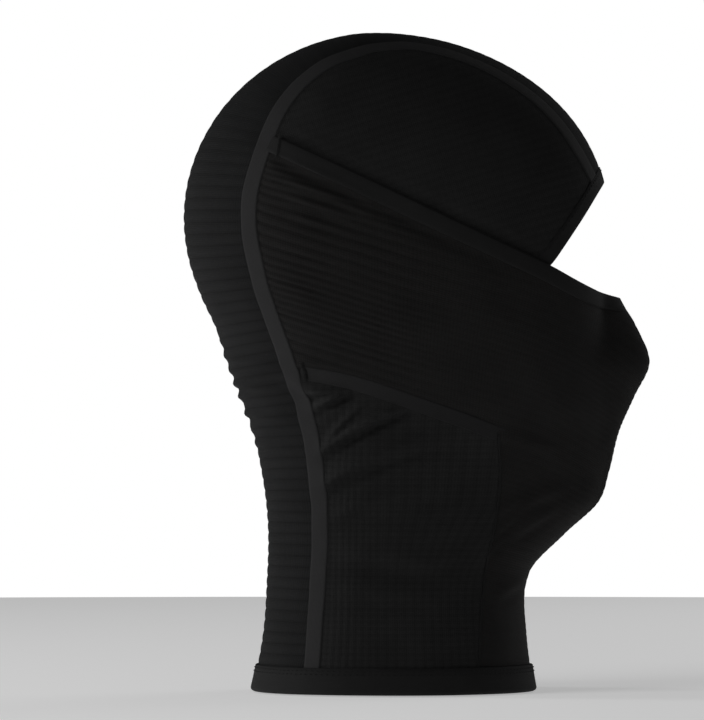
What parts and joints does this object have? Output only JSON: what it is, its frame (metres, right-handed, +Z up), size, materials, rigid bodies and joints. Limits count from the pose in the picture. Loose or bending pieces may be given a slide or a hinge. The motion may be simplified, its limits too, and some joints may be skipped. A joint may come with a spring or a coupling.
{
  "type": "balaclava",
  "caption": "Close-fitting knit hood with an eye opening, a ribbed crown gore, taped seams and a face mask that pulls down below the chin.",
  "frame": {"origin": "the middle of the line through the wearer's ears, inside the hood, where the head that wears it is measured from", "axes": "+Z up the head, -Y the way the face looks, +X the wearer's left"},
  "size_m": [0.157, 0.2095, 0.2985],
  "materials": {
    "gore_knit": "matt black rib knit with a green-brown cast",
    "temple_knit": "matt black fine grid knit",
    "mask_knit": "matt black rib knit",
    "neck_knit": "matt black square grid knit",
    "seam_tape": "smooth matt charcoal woven tape",
    "band": "smooth matt black jersey, folded",
    "elastic": "matt black knitted elastic",
    "thread": "black polyester sewing thread, slight sheen",
    "label": "smooth dark grey satin ribbon, blank"
  },
  "bodies": {
    "hood": {"centre_gore_panel": "gore_knit", "chin_panel": "mask_knit", "brow_band": "band", "neck_hem_band": "band", "care_label": "label", "left_temple_panel": "temple_knit", "left_cheek_panel": "mask_knit", "left_neck_panel": "neck_knit", "left_crown_seam_tape": "seam_tape", "left_jaw_seam_tape": "seam_tape", "left_mask_top_band": "band", "left_mask_top_elastic": "elastic", "left_upper_bar_tack": "thread", "left_lower_bar_tack": "thread", "left_chin_seam": "thread", "right_temple_panel": "temple_knit", "right_cheek_panel": "mask_knit", "right_neck_panel": "neck_knit", "right_crown_seam_tape": "seam_tape", "right_jaw_seam_tape": "seam_tape", "right_mask_top_band": "band", "right_mask_top_elastic": "elastic", "right_upper_bar_tack": "thread", "right_lower_bar_tack": "thread", "right_chin_seam": "thread"},
    "mask_front": {"mask_front_panel": "mask_knit", "mask_top_band_front": "band", "mask_top_elastic_front": "elastic"}
  },
  "joints": [
    {"name": "mask_pull_down", "type": "hinge", "parent": "hood", "child": "mask_front", "pos_m": [0, 0.042, -0.048], "axis": [1, 0, 0], "range_deg": [0, 42]}
  ]
}
